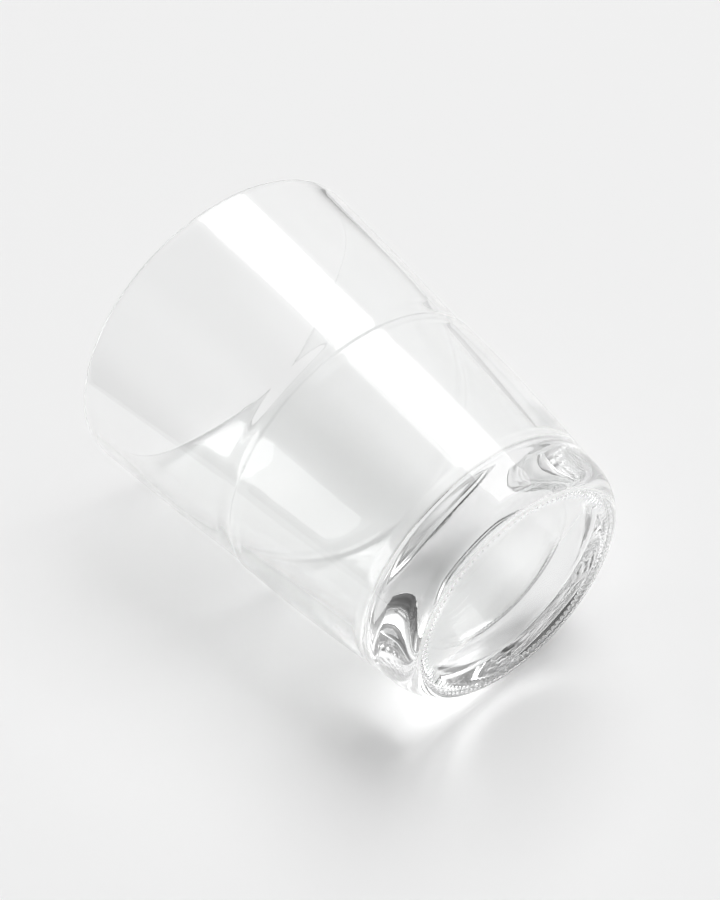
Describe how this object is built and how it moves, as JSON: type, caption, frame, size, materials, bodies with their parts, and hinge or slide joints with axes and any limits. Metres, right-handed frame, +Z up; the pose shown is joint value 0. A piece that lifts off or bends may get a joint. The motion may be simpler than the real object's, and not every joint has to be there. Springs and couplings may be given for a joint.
{
  "type": "stacking tumbler",
  "caption": "Heavy-base clear glass tumbler with a tapered wall, a stacking shoulder half way up, a rounded heel and a shallow push-up under the base.",
  "frame": {"origin": "centre of the resting plane under the base", "axes": "+Z up along the axis of symmetry, from the base to the open rim; X and Y are free because the glass is turned"},
  "size_m": [0.0804, 0.0804, 0.1025],
  "materials": {
    "clear_glass": "clear colourless soda-lime glass, fire-polished, smooth and glossy inside and out"
  },
  "bodies": {
    "root": {"glass_body": "clear_glass"}
  },
  "joints": []
}
